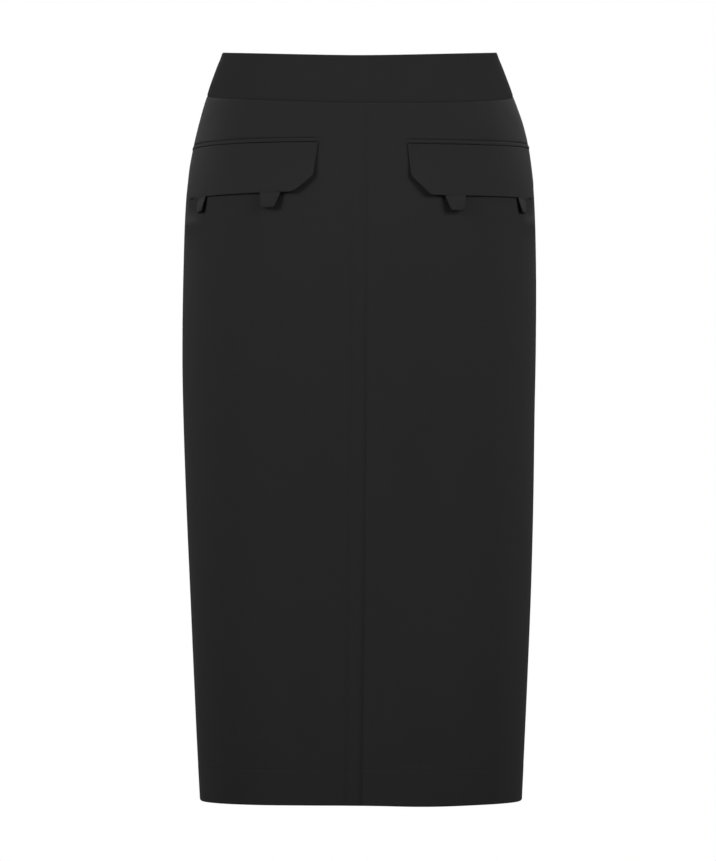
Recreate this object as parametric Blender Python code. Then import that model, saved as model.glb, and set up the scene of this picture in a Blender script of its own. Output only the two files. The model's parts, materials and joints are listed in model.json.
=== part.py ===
"""Pencil skirt, filled out as if worn, made of the pieces that are cut and sewn.

Metres, +Z up. The front is -Y, and left and right are as seen from the front, so left is -X.
The origin is the middle of the waistband: half way between the side seams, half way up them.
"""

import math
from functools import lru_cache
from typing import NamedTuple

import bmesh
import bpy
import numpy as np
from mathutils import Matrix, Vector

# Cloth
PANEL_THICK = 0.0012
HEM_THICK = 0.0024  # the hem is turned up once
WAISTBAND_THICK = 0.0022
WELT_THICK = 0.0012
FLAP_THICK = 0.0014
TAB_THICK = 0.0013
TAPE_THICK = 0.0010
SEAM_GAP = 0.0003  # between pieces that are sewn together
HALF_GAP = SEAM_GAP / 2

# Heights of the edges and seams, at the side seams unless said otherwise
TOP_Z = 0.0205
WAIST_SEAM_Z = -0.0205
HEM_Z = -0.6926
HEM_DEPTH = 0.0335
HEM_STEP = 0.0010  # the turned-up edge thickens the wall over this height

# The front is cut with a centre seam that drifts from right of the middle to almost on it
SEAM_DRIFT_TOP = 0.0064
SEAM_DRIFT_FALL = 0.0054
SEAM_DRIFT_START_Z = -0.0300
SEAM_DRIFT_POWER = 1.7

# Walking slit in the back seam
SLIT_TOP_Z = -0.5130
SLIT_OPEN = 0.0030  # how far each edge stands from the middle at the hem

# Rows and columns of the walls
PANEL_COLUMNS = 16
WAISTBAND_ROWS = (0.0, 0.25, 0.5, 0.6, 0.7, 1.0)  # shares of its height, from the seam up
HIP_Z = -0.2000  # the rows are closer together above the hip
ROWS_ABOVE_HIP = 13
ROWS_BELOW_HIP = 12
DIP_END_Z = -0.2500  # below this the rows of the panels are level
FLAP_ROWS = 4
TAB_ROWS = 7
SAME_COLUMN = 0.005  # columns closer than this share of a panel's width are one
MARGIN = 0.001  # a piece's inner columns keep this far from its ends


class Section(NamedTuple):
    """The skirt's outer outline at one height."""

    z: float
    left: float  # half width
    right: float
    front: float  # depth, from the side seams
    back: float
    front_power: float  # 2 is an ellipse, and more is squarer
    back_power: float


SECTIONS = (
    Section(0.0205, 0.1306, 0.1299, 0.0880, 0.0970, 2.25, 2.20),
    Section(-0.0205, 0.1455, 0.1454, 0.0955, 0.1080, 2.30, 2.25),
    Section(-0.0492, 0.1538, 0.1557, 0.0995, 0.1150, 2.35, 2.25),
    Section(-0.0778, 0.1602, 0.1620, 0.1025, 0.1210, 2.40, 2.30),
    Section(-0.1208, 0.1657, 0.1662, 0.1060, 0.1280, 2.45, 2.35),
    Section(-0.1900, 0.1683, 0.1680, 0.1080, 0.1325, 2.50, 2.40),
    Section(-0.2641, 0.1693, 0.1677, 0.1065, 0.1290, 2.55, 2.45),
    Section(-0.3214, 0.1685, 0.1666, 0.1040, 0.1220, 2.60, 2.50),
    Section(-0.4073, 0.1657, 0.1653, 0.1005, 0.1120, 2.70, 2.60),
    Section(-0.4920, 0.1620, 0.1631, 0.0980, 0.1050, 2.80, 2.70),
    Section(-0.5792, 0.1581, 0.1595, 0.0960, 0.1000, 2.90, 2.80),
    Section(-0.6365, 0.1555, 0.1569, 0.0950, 0.0980, 2.95, 2.90),
    Section(-0.6933, 0.1524, 0.1543, 0.0940, 0.0965, 3.00, 3.00),
)


class Dip(NamedTuple):
    """How far an edge drops from the side seam to the middle, and how the drop is spread."""

    drop: float
    left_power: float
    right_power: float


TOP_DIP = {"front": Dip(0.0091, 1.7, 1.7), "back": Dip(0.0050, 2.0, 2.0)}
SEAM_DIP = {"front": Dip(0.0123, 1.75, 2.3), "back": Dip(0.0050, 2.0, 2.0)}


class Pocket(NamedTuple):
    """A flap pocket: where its middle lies, and how far its line tilts."""

    side: int  # -1 is left
    middle: float  # along the cloth from the middle of the front
    top_z: float  # the welt's upper edge, at the pocket's middle
    tilt: float  # rise for each metre away from the front's middle


POCKETS = (
    Pocket(-1, 0.1242, -0.0691, -0.034),
    Pocket(1, 0.1293, -0.0693, -0.003),
)

# One pocket, measured along the cloth
POCKET_HALF = 0.0850  # half its length
WELT_HEIGHT = 0.0043
FLAP_HEIGHT = 0.0511  # from the welt's upper edge to the flap's lower edge
END_SLANT = 0.0046  # the flap's end leans in by this much, down to the corner that is cut off
CORNER_WIDTH = 0.0230  # from the end to where the lower edge is straight
CORNER_START = 0.0315  # from the welt's upper edge to where the cut corner starts
TAB_OFFSET = 0.0400  # from the pocket's middle to the middle of each tab
TAB_TOP_WIDTH = 0.0200
TAB_END_WIDTH = 0.0128
TAB_LENGTH = 0.0150  # below the flap
TAB_HIDDEN = 0.0060  # behind the flap

# How far the pocket's pieces stand off the panel
WELT_OFF = 0.0003
FLAP_OFF_TOP = 0.0003
FLAP_OFF_BOTTOM = 0.0026
FLAP_OFF_INNER_CORNER = 0.0044
FLAP_OFF_OUTER_CORNER = 0.0012
FLAP_LIFT_LENGTH = 0.0500  # the inner corner lifts over this length
FLAP_HUG_LENGTH = 0.0300  # and the outer one hugs the hip over this one
TAB_OFF_TOP = 0.0007
TAB_OFF_END = 0.0016

# Concealed zip in the middle of the back
TAPE_TOP_Z = 0.0130
TAPE_END_Z = -0.2000
TAPE_WIDTH = 0.0120
TAPE_EDGE = 0.0010  # from the middle to the tape's nearer edge, which leaves room for the coil
TAPE_ROWS = 18
TAPE_STEP = 0.0050  # below the waistband's seam the tape steps out to the thinner panel
NOTCH_Z = -0.0010  # above this the waistband's ends part for the slider
NOTCH_HALF = 0.0010
SLIDER_Z = 0.0070
SLIDER_BODY = (0.0080, 0.0022, 0.0090)
NECK = (0.0012, 0.0050)  # thickness across the zip and height along it
RING_OUTER = 0.0019
RING_INNER = 0.0010
PULL_THICK = 0.0010
PULL_LENGTH = 0.0220
PULL_TIP_RADIUS = 0.0024
PULL_TOP_HALF = 0.0019
PULL_BAR = 0.00045  # half height of the bar that passes through the ring
PULL_WINDOW_HALF = 0.00095
PULL_WINDOW_END = 0.0023

ROUND_STEPS = 24
ARC_STEPS = 181


class Finish(NamedTuple):
    colour: tuple
    roughness: float
    metallic: float


CLOTH = Finish((0.0214, 0.0214, 0.0217), 0.80, 0.0)
CLOTH_DARK = Finish((0.0180, 0.0180, 0.0182), 0.82, 0.0)
TAPE = Finish((0.0140, 0.0140, 0.0142), 0.75, 0.0)
BLACK_METAL = Finish((0.0160, 0.0160, 0.0165), 0.35, 0.6)


# The outer surface


@lru_cache(maxsize=None)
def section_at(z):
    """The outline at a height, on a smooth curve through the table."""
    table = SECTIONS[::-1]
    heights = [s.z for s in table]
    z = min(max(z, heights[0]), heights[-1])
    i = min(max(int(np.searchsorted(heights, z)) - 1, 0), len(table) - 2)
    below, above = np.array(table[i]), np.array(table[i + 1])
    step = heights[i + 1] - heights[i]
    t = (z - heights[i]) / step

    def slope(k):
        first, last = max(k - 1, 0), min(k + 1, len(table) - 1)
        return (np.array(table[last]) - np.array(table[first])) / (heights[last] - heights[first])

    curve = (
        (2 * t**3 - 3 * t**2 + 1) * below
        + (t**3 - 2 * t**2 + t) * step * slope(i)
        + (3 * t**2 - 2 * t**3) * above
        + (t**3 - t**2) * step * slope(i + 1)
    )
    return Section(z, *curve[1:])


def quarter_shape(face, side, z):
    """Half width, depth and squareness of one quarter of the outline."""
    s = section_at(round(z, 6))
    width = s.left if side < 0 else s.right
    return (width, s.front, s.front_power) if face == "front" else (width, s.back, s.back_power)


@lru_cache(maxsize=None)
def quarter_arc(width, depth, power):
    """The lengths along a quarter of the outline and the angles at which they are reached."""
    angles = np.linspace(0, math.pi / 2, ARC_STEPS)
    radii = (np.cos(angles) / depth) ** power + (np.sin(angles) / width) ** power
    radii = radii ** (-1 / power)
    steps = np.hypot(np.diff(radii * np.sin(angles)), np.diff(radii * np.cos(angles)))
    return np.concatenate([[0], np.cumsum(steps)]), angles


def quarter_length(face, side, z):
    return float(quarter_arc(*quarter_shape(face, side, z))[0][-1])


def skin(face, z, arc):
    """A point of the outer surface and its outward normal; arc runs from the face's middle."""
    side = -1 if arc < 0 else 1
    width, depth, power = quarter_shape(face, side, z)
    lengths, angles = quarter_arc(width, depth, power)
    angle = float(np.interp(abs(arc), lengths, angles))
    across, along = math.sin(angle) / width, math.cos(angle) / depth
    radius = (across**power + along**power) ** (-1 / power)
    x, y = radius * math.sin(angle), radius * math.cos(angle)
    forward = -1 if face == "front" else 1

    reach = 0.001
    up, down = quarter_shape(face, side, z + reach), quarter_shape(face, side, z - reach)
    wider = math.log(up[0] / down[0]) / (2 * reach)
    deeper = math.log(up[1] / down[1]) / (2 * reach)
    share_x, share_y = (x / width) ** power, (y / depth) ** power
    normal = Vector(
        (
            side * share_x / max(x, 1e-9),
            forward * share_y / max(y, 1e-9),
            -(share_x * wider + share_y * deeper),
        )
    )
    return Vector((side * x, forward * y, z)), normal.normalized()


# Edges and seams


def edge_height(side_z, dips, face, share):
    """Height of a waist edge at a share of the way from the middle (0) to a side seam (-1 or 1)."""
    dip = dips[face]
    power = dip.left_power if share < 0 else dip.right_power
    return side_z - dip.drop * (1 - abs(share) ** power)


def centre_seam(face, z):
    """Where the middle seam runs, along the cloth from the face's middle."""
    if face == "back":
        return 0.0
    fall = max(0.0, SEAM_DRIFT_START_Z - z) / (SEAM_DRIFT_START_Z - HEM_Z)
    return SEAM_DRIFT_TOP - SEAM_DRIFT_FALL * fall**SEAM_DRIFT_POWER


def seam_clearance(face, z):
    """Half the gap at the middle seam, which opens into the slit at the back."""
    if face == "front" or z > SLIT_TOP_Z:
        return HALF_GAP
    return HALF_GAP + SLIT_OPEN * (SLIT_TOP_Z - z) / (SLIT_TOP_Z - HEM_Z)


def panel_arc(face, side, z, share):
    """Along the cloth, from the middle seam (share 0) to the side seam (share 1)."""
    start = centre_seam(face, z) + side * seam_clearance(face, z)
    end = side * (quarter_length(face, side, z) - HALF_GAP)
    return start + (end - start) * share


def panel_heights():
    """The rows of a panel, from the waistband's seam to the hem, as heights at the side seam."""
    hip = np.linspace(WAIST_SEAM_Z - HALF_GAP, HIP_Z, ROWS_ABOVE_HIP + 1)
    hem_line = HEM_Z + HEM_DEPTH
    leg = np.linspace(HIP_Z, hem_line + HEM_STEP, ROWS_BELOW_HIP + 1)[1:]
    return [float(z) for z in (*hip, *leg, hem_line, HEM_Z)]


def panel_height(face, side, row_z, share):
    """The rows follow the waistband's dipping seam at the top and are level lower down."""
    dip = edge_height(0, SEAM_DIP, face, side * share)
    level = max(0.0, (row_z - DIP_END_Z) / (WAIST_SEAM_Z - DIP_END_Z))
    return row_z + dip * level**2


def facet_point(side, z, arc):
    """A point of the front panel's flat facets, between two of its columns, and its normal."""
    start, end = panel_arc("front", side, z, 0), panel_arc("front", side, z, 1)
    place = (arc - start) / (end - start) * PANEL_COLUMNS
    column = min(max(int(place), 0), PANEL_COLUMNS - 1)
    near = skin("front", z, start + (end - start) * column / PANEL_COLUMNS)
    far = skin("front", z, start + (end - start) * (column + 1) / PANEL_COLUMNS)
    share = place - column
    return near[0].lerp(far[0], share), near[1].lerp(far[1], share).normalized()


# Building


def clear_scene():
    for item in list(bpy.data.objects):
        bpy.data.objects.remove(item, do_unlink=True)


def new_collection(name):
    collection = bpy.data.collections.new(name)
    bpy.context.scene.collection.children.link(collection)
    return collection


def new_material(name, finish):
    material = bpy.data.materials.new(name)
    material.use_nodes = True
    shader = material.node_tree.nodes["Principled BSDF"]
    shader.inputs["Base Color"].default_value = (*finish.colour, 1)
    shader.inputs["Roughness"].default_value = finish.roughness
    shader.inputs["Metallic"].default_value = finish.metallic
    material.diffuse_color = (*finish.colour, 1)
    return material


def add_object(name, data, collection, finish):
    item = bpy.data.objects.new(name, data)
    collection.objects.link(item)
    if finish:
        data.materials.append(new_material(name, finish))
    return item


def add_wall(name, outer, inner, collection, finish):
    """A closed wall of cloth between two grids of points, rows by columns."""
    shape = bmesh.new()
    faces = [[[shape.verts.new(p) for p in row] for row in grid] for grid in (outer, inner)]
    rows, columns = len(outer), len(outer[0])
    for grid in faces:
        for r in range(rows - 1):
            for c in range(columns - 1):
                shape.faces.new((grid[r][c], grid[r][c + 1], grid[r + 1][c + 1], grid[r + 1][c]))
    rim = [(0, c) for c in range(columns)] + [(r, columns - 1) for r in range(1, rows)]
    rim += [(rows - 1, c) for c in range(columns - 2, -1, -1)]
    rim += [(r, 0) for r in range(rows - 2, 0, -1)]
    for (r, c), (next_r, next_c) in zip(rim, rim[1:] + rim[:1]):
        corners = (faces[0][r][c], faces[0][next_r][next_c], faces[1][next_r][next_c], faces[1][r][c])
        shape.faces.new(corners)
    bmesh.ops.recalc_face_normals(shape, faces=shape.faces)
    mesh = bpy.data.meshes.new(name)
    shape.to_mesh(mesh)
    shape.free()
    mesh.shade_smooth()
    mesh.set_sharp_from_angle(angle=math.radians(40))
    return add_object(name, mesh, collection, finish)


# The shell: panels and waistband


def add_panel(face, side, collection):
    outer, inner = [], []
    for row_z in panel_heights():
        thick = HEM_THICK if row_z <= HEM_Z + HEM_DEPTH else PANEL_THICK
        outer_row, inner_row = [], []
        for column in range(PANEL_COLUMNS + 1):
            share = column / PANEL_COLUMNS
            z = panel_height(face, side, row_z, share)
            point, normal = skin(face, z, panel_arc(face, side, z, share))
            outer_row.append(point)
            inner_row.append(point - normal * thick)
        outer.append(outer_row)
        inner.append(inner_row)
    hand = "left" if side < 0 else "right"
    return add_wall(f"{face}_panel_{hand}", outer, inner, collection, CLOTH)


def waistband_point(face, share, row, end_gap):
    """A point of the waistband; end_gap is kept free of its end in the middle of the back."""
    low = edge_height(WAIST_SEAM_Z, SEAM_DIP, face, share) + HALF_GAP
    high = edge_height(TOP_Z, TOP_DIP, face, share)
    z = low + (high - low) * row
    side = -1 if share < 0 else 1
    length = quarter_length(face, side, z) - HALF_GAP
    arc = end_gap + (length - end_gap) * abs(share)
    return skin(face, z, side * arc)


def add_waistband(name, face, shares, collection):
    outer, inner = [], []
    for row in WAISTBAND_ROWS:
        middle_z = edge_height(WAIST_SEAM_Z, SEAM_DIP, face, 0) * (1 - row)
        middle_z += edge_height(TOP_Z, TOP_DIP, face, 0) * row
        end_gap = 0.0
        if face == "back":
            end_gap = NOTCH_HALF if middle_z > NOTCH_Z else HALF_GAP
        points = [waistband_point(face, share, row, end_gap) for share in shares]
        outer.append([p for p, _ in points])
        inner.append([p - n * WAISTBAND_THICK for p, n in points])
    return add_wall(name, outer, inner, collection, CLOTH)


def add_shell(collection):
    for face in ("front", "back"):
        for side in (-1, 1):
            add_panel(face, side, collection)
    steps = [column / PANEL_COLUMNS for column in range(PANEL_COLUMNS + 1)]
    around = [-s for s in reversed(steps[1:])] + steps
    add_waistband("waistband_front", "front", around, collection)
    tiny = 1e-6  # keeps the sign of the end in the middle
    add_waistband("waistband_back_left", "back", [-max(s, tiny) for s in steps], collection)
    add_waistband("waistband_back_right", "back", [max(s, tiny) for s in steps], collection)


# The pockets


def pocket_line(pocket, along, below):
    """Height at a place along the pocket (from its middle, outward) and a depth under its top."""
    return pocket.top_z + pocket.tilt * along - below


def share_at(pocket, along, below):
    """The share of the panel's width, from the middle seam, at a place of the pocket."""
    z = pocket_line(pocket, along, below)
    start, end = (panel_arc("front", pocket.side, z, share) for share in (0, 1))
    return (pocket.side * (pocket.middle + along) - start) / (end - start)


def along_at(pocket, share, below):
    """The place along the pocket where a share line of the panel crosses a depth."""
    along = 0.0
    for _ in range(2):
        z = pocket_line(pocket, along, below)
        along = pocket.side * panel_arc("front", pocket.side, z, share) - pocket.middle
    return along


def ridges(pocket, below, low, high):
    """The panel's own columns that run between two places along the pocket."""
    shares = [column / PANEL_COLUMNS for column in range(PANEL_COLUMNS)]
    return [share for share in shares if low < along_at(pocket, share, below) < high]


def flap_bottom(along):
    """Depth of the flap's lower edge under the welt's top, with both corners cut off."""
    from_end = POCKET_HALF - abs(along)
    if from_end >= CORNER_WIDTH:
        return FLAP_HEIGHT
    share = max(0.0, (from_end - END_SLANT) / (CORNER_WIDTH - END_SLANT))
    return CORNER_START + (FLAP_HEIGHT - CORNER_START) * share


def flap_off(along, below):
    """How far the flap's inside stands off the panel: more at the free inner corner."""
    low = min(1.0, (below - WELT_HEIGHT) / (FLAP_HEIGHT - WELT_HEIGHT))
    inner = max(0.0, 1 - (along + POCKET_HALF) / FLAP_LIFT_LENGTH)
    outer = max(0.0, 1 - (POCKET_HALF - along) / FLAP_HUG_LENGTH)
    bottom = FLAP_OFF_BOTTOM + (FLAP_OFF_INNER_CORNER - FLAP_OFF_BOTTOM) * inner
    bottom += (FLAP_OFF_OUTER_CORNER - FLAP_OFF_BOTTOM) * outer
    return FLAP_OFF_TOP + (bottom - FLAP_OFF_TOP) * low


def add_patch(name, pocket, places, off, thick, collection, finish):
    """A piece on the front panel; places is a grid of (along, below) and off gives its distance."""
    outer, inner = [], []
    for row in places:
        outer_row, inner_row = [], []
        for along, below in row:
            z = pocket_line(pocket, along, below)
            point, normal = facet_point(pocket.side, z, pocket.side * (pocket.middle + along))
            gap = off(along, below)
            inner_row.append(point + normal * gap)
            outer_row.append(point + normal * (gap + thick))
        outer.append(outer_row)
        inner.append(inner_row)
    return add_wall(name, outer, inner, collection, finish)


def add_welt(pocket, hand, collection):
    inside = [along_at(pocket, share, 0) for share in ridges(pocket, 0, -POCKET_HALF, POCKET_HALF)]
    columns = [-POCKET_HALF, *inside, POCKET_HALF]
    places = [[(along, WELT_HEIGHT * row) for along in columns] for row in (0, 1)]
    add_patch(f"welt_{hand}", pocket, places, lambda a, b: WELT_OFF, WELT_THICK, collection, CLOTH)


def add_flap(pocket, hand, collection):
    """The flap's columns run along the panel's own, so that neither cuts into the other."""
    top = WELT_HEIGHT + SEAM_GAP
    corner = POCKET_HALF - CORNER_WIDTH
    corners = [share_at(pocket, along, FLAP_HEIGHT) for along in (-corner, corner)]
    inside = ridges(pocket, top, -POCKET_HALF, POCKET_HALF)
    inside = [share for share in inside if min(abs(share - c) for c in corners) > SAME_COLUMN]
    inside = sorted([*inside, *corners])
    places = []
    for row in range(FLAP_ROWS + 1):
        part = row / FLAP_ROWS
        end = POCKET_HALF - END_SLANT * part
        end_below = top + (CORNER_START - top) * part
        line = [(-end, end_below)]
        for share in inside:
            bottom = flap_bottom(along_at(pocket, share, FLAP_HEIGHT))
            below = top + (bottom - top) * part
            along = along_at(pocket, share, below)
            line.append((min(max(along, MARGIN - end), end - MARGIN), below))
        places.append([*line, (end, end_below)])
    add_patch(f"flap_{hand}", pocket, places, flap_off, FLAP_THICK, collection, CLOTH)


def add_tab(pocket, hand, which, collection):
    middle = -TAB_OFFSET if which == "inner" else TAB_OFFSET
    start = FLAP_HEIGHT - TAB_HIDDEN
    narrow = TAB_END_WIDTH / 2 - MARGIN
    inside = ridges(pocket, FLAP_HEIGHT, middle - narrow, middle + narrow)

    def off(along, below):
        share = (below - start) / (TAB_HIDDEN + TAB_LENGTH)
        return TAB_OFF_TOP + (TAB_OFF_END - TAB_OFF_TOP) * share

    places = []
    for row in range(TAB_ROWS + 1):
        below = start + (TAB_HIDDEN + TAB_LENGTH) * row / TAB_ROWS
        taper = max(0.0, (below - FLAP_HEIGHT) / TAB_LENGTH)
        half = (TAB_TOP_WIDTH + (TAB_END_WIDTH - TAB_TOP_WIDTH) * taper) / 2
        columns = [middle - half, *(along_at(pocket, s, below) for s in inside), middle + half]
        places.append([(along, below) for along in columns])
    add_patch(f"tab_{which}_{hand}", pocket, places, off, TAB_THICK, collection, CLOTH_DARK)


def add_pockets(collection):
    for pocket in POCKETS:
        hand = "left" if pocket.side < 0 else "right"
        add_welt(pocket, hand, collection)
        add_flap(pocket, hand, collection)
        for which in ("inner", "outer"):
            add_tab(pocket, hand, which, collection)


# The zip


def tape_depth(z):
    """How far inside the outer surface the tape's near face lies."""
    seam = edge_height(WAIST_SEAM_Z, SEAM_DIP, "back", 0)
    share = min(max((seam - z) / TAPE_STEP, 0.0), 1.0)
    return SEAM_GAP + WAISTBAND_THICK + (PANEL_THICK - WAISTBAND_THICK) * share


def add_tape(side, collection):
    seam = edge_height(WAIST_SEAM_Z, SEAM_DIP, "back", 0)
    heights = sorted(
        [*np.linspace(TAPE_TOP_Z, TAPE_END_Z, TAPE_ROWS), seam - HALF_GAP, seam - TAPE_STEP],
        reverse=True,
    )
    outer, inner = [], []
    for z in (float(h) for h in heights):
        outer_row, inner_row = [], []
        for arc in (TAPE_EDGE, TAPE_EDGE + TAPE_WIDTH):
            point, normal = skin("back", z, side * arc)
            outer_row.append(point - normal * tape_depth(z))
            inner_row.append(point - normal * (tape_depth(z) + TAPE_THICK))
        outer.append(outer_row)
        inner.append(inner_row)
    hand = "left" if side < 0 else "right"
    add_wall(f"zip_tape_{hand}", outer, inner, collection, TAPE)


def add_solid(name, collection, finish, make):
    """An object from one of bmesh's own shapes."""
    shape = bmesh.new()
    make(shape)
    mesh = bpy.data.meshes.new(name)
    shape.to_mesh(mesh)
    shape.free()
    return add_object(name, mesh, collection, finish)


def box_shape(size, middle):
    def make(shape):
        matrix = Matrix.Translation(middle) @ Matrix.Diagonal((*size, 1))
        bmesh.ops.create_cube(shape, size=1, matrix=matrix)

    return make


def round_shape(radius, length):
    """A cylinder along X."""

    def make(shape):
        turn = Matrix.Rotation(math.pi / 2, 4, "Y")
        size = {"radius1": radius, "radius2": radius, "depth": length}
        bmesh.ops.create_cone(shape, cap_ends=True, segments=ROUND_STEPS, matrix=turn, **size)

    return make


def boolean(item, other, operation):
    modifier = item.modifiers.new(other.name, "BOOLEAN")
    modifier.operation = operation
    modifier.object = other


def hide(item):
    item.hide_render = True
    item.display_type = "WIRE"


def slider_place():
    """Where the slider's ring has its middle, and how far the zip leans back there."""
    point, normal = skin("back", SLIDER_Z, 0)
    lean = math.atan2(normal.z, normal.y)
    return point + normal * (RING_OUTER + SEAM_GAP), lean


def add_slider(collection, cutters):
    """The slider's own frame has +Y out of the cloth, and its origin is the ring's middle."""
    middle, lean = slider_place()
    skin_y = -(RING_OUTER + SEAM_GAP)
    tape_back = skin_y - WAISTBAND_THICK - 2 * SEAM_GAP - TAPE_THICK
    body_y = tape_back - SLIDER_BODY[1] / 2
    slider = add_solid("zip_slider", collection, BLACK_METAL, box_shape(SLIDER_BODY, (0, body_y, 0)))
    neck_end = -(RING_OUTER + RING_INNER) / 2
    neck_size = (NECK[0], neck_end - body_y, NECK[1])
    neck = add_solid("slider_neck", cutters, None, box_shape(neck_size, (0, (neck_end + body_y) / 2, 0)))
    ring = add_solid("slider_ring", cutters, None, round_shape(RING_OUTER, NECK[0]))
    bore = add_solid("slider_bore", cutters, None, round_shape(RING_INNER, 3 * NECK[0]))
    boolean(slider, neck, "UNION")
    boolean(slider, ring, "UNION")
    boolean(slider, bore, "DIFFERENCE")
    for item in (slider, neck, ring, bore):
        item.location = middle
        item.rotation_euler = (lean, 0, 0)
    for item in (neck, ring, bore):
        hide(item)


def pull_outline():
    """The pull tab's edge: straight at the bar, widening to a round end."""
    tip = -PULL_LENGTH + PULL_TIP_RADIUS
    steps = ROUND_STEPS // 2
    end = [
        (PULL_TIP_RADIUS * math.cos(a), tip - PULL_TIP_RADIUS * math.sin(a))
        for a in (math.pi * k / steps for k in range(steps + 1))
    ]
    return [(-PULL_TOP_HALF, PULL_BAR), (PULL_TOP_HALF, PULL_BAR), *end]


def add_pull(collection):
    """A flat tab whose bar runs through the slider's ring, hanging along the cloth."""
    middle, lean = slider_place()
    window = [
        (-PULL_WINDOW_HALF, -PULL_BAR),
        (-PULL_WINDOW_HALF, -PULL_WINDOW_END),
        (PULL_WINDOW_HALF, -PULL_WINDOW_END),
        (PULL_WINDOW_HALF, -PULL_BAR),
    ]
    curve = bpy.data.curves.new("zip_pull", "CURVE")
    curve.dimensions = "2D"
    curve.fill_mode = "BOTH"
    curve.extrude = PULL_THICK / 2
    for outline in (pull_outline(), window):
        spline = curve.splines.new("POLY")
        spline.points.add(len(outline) - 1)
        for point, (x, z) in zip(spline.points, outline):
            point.co = (x, z, 0, 1)
        spline.use_cyclic_u = True
    pull = add_object("zip_pull", curve, collection, BLACK_METAL)
    pull.location = middle
    pull.rotation_euler = (math.pi / 2 + lean, 0, 0)
    return pull


def main():
    clear_scene()
    skirt = new_collection("pencil_skirt")
    cutters = new_collection("cutters")
    add_shell(skirt)
    add_pockets(skirt)
    for side in (-1, 1):
        add_tape(side, skirt)
    add_slider(skirt, cutters)
    add_pull(skirt)


main()
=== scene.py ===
import json
import math
from functools import lru_cache
from types import SimpleNamespace

import bmesh
import bpy
import numpy as np
from mathutils import Matrix, Vector


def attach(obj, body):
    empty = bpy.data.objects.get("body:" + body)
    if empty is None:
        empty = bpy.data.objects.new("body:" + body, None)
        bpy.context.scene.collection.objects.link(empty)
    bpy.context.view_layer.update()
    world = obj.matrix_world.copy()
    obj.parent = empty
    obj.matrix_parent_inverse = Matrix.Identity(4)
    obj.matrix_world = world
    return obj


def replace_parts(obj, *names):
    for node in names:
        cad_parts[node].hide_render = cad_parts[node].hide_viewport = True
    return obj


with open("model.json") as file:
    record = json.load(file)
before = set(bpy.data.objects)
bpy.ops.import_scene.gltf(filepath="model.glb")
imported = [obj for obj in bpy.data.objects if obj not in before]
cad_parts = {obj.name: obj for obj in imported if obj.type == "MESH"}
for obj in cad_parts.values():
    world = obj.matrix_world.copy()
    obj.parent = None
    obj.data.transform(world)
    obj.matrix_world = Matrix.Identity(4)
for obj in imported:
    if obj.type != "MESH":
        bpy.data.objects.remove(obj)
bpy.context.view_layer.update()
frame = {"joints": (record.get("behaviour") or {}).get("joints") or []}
print("frame loaded")

# The skirt's outline at each height, in metres: half width on the left and right, depth in front of
# and behind the side seams, and how square the front and back are (2 is an ellipse)
outline = {
    0.0205: (0.1306, 0.1299, 0.0880, 0.0970, 2.25, 2.20),
    -0.0205: (0.1455, 0.1454, 0.0955, 0.1080, 2.30, 2.25),
    -0.0492: (0.1538, 0.1557, 0.0995, 0.1150, 2.35, 2.25),
    -0.0778: (0.1602, 0.1620, 0.1025, 0.1210, 2.40, 2.30),
    -0.1208: (0.1657, 0.1662, 0.1060, 0.1280, 2.45, 2.35),
    -0.1900: (0.1683, 0.1680, 0.1080, 0.1325, 2.50, 2.40),
    -0.2641: (0.1693, 0.1677, 0.1065, 0.1290, 2.55, 2.45),
    -0.3214: (0.1685, 0.1666, 0.1040, 0.1220, 2.60, 2.50),
    -0.4073: (0.1657, 0.1653, 0.1005, 0.1120, 2.70, 2.60),
    -0.4920: (0.1620, 0.1631, 0.0980, 0.1050, 2.80, 2.70),
    -0.5792: (0.1581, 0.1595, 0.0960, 0.1000, 2.90, 2.80),
    -0.6365: (0.1555, 0.1569, 0.0950, 0.0980, 2.95, 2.90),
    -0.6933: (0.1524, 0.1543, 0.0940, 0.0965, 3.00, 3.00),
}

# Heights of the edges, and how the seams run
edges = {
    "topZ": 0.0205,
    "waistSeamZ": -0.0218,
    "hemZ": -0.6926,
    "dipEndZ": -0.2500,  # below this the panels' rows are level
    # how far an edge drops to the middle, and how the drop is spread to the left and right
    "topDip": {"front": (0.0091, 1.7, 1.7), "back": (0.0050, 2.0, 2.0)},
    "seamDip": {"front": (0.0123, 1.75, 2.3), "back": (0.0050, 2.0, 2.0)},
    "drift": {"top": 0.0064, "fall": 0.0054, "startZ": -0.0300, "power": 1.7},
    "slit": {"topZ": -0.5130, "open": 0.0030},
    "touch": -0.00003,  # half the gap between two sewn edges, which press into each other
}
mm = 0.001


def smooth(value, low, high):
    t = np.clip((value - low) / (high - low), 0, 1)
    return t * t * (3 - 2 * t)


def blend(first, last, share):
    return first + (last - first) * share


def hump(value, middle, width):
    return np.exp(-(((value - middle) / width) ** 2))


def inMm(*values):
    return np.array(values) * mm


def handOf(side):
    return "left" if side < 0 else "right"


# The outer surface

outlineZ = np.array(sorted(outline))
outlineValues = np.array([outline[z] for z in outlineZ])
following = np.minimum(np.arange(len(outlineZ)) + 1, len(outlineZ) - 1)
previous = np.maximum(np.arange(len(outlineZ)) - 1, 0)
outlineSlopes = outlineValues[following] - outlineValues[previous]
outlineSlopes /= (outlineZ[following] - outlineZ[previous])[:, None]


def outlineAt(z):
    # a smooth curve through the table
    z = np.clip(z, outlineZ[0], outlineZ[-1])
    i = np.clip(np.searchsorted(outlineZ, z) - 1, 0, len(outlineZ) - 2)
    step = (outlineZ[i + 1] - outlineZ[i])[..., None]
    t = (z - outlineZ[i])[..., None] / step
    curve = (2 * t**3 - 3 * t**2 + 1) * outlineValues[i]
    curve += (t**3 - 2 * t**2 + t) * step * outlineSlopes[i]
    curve += (3 * t**2 - 2 * t**3) * outlineValues[i + 1]
    curve += (t**3 - t**2) * step * outlineSlopes[i + 1]
    return curve


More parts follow.
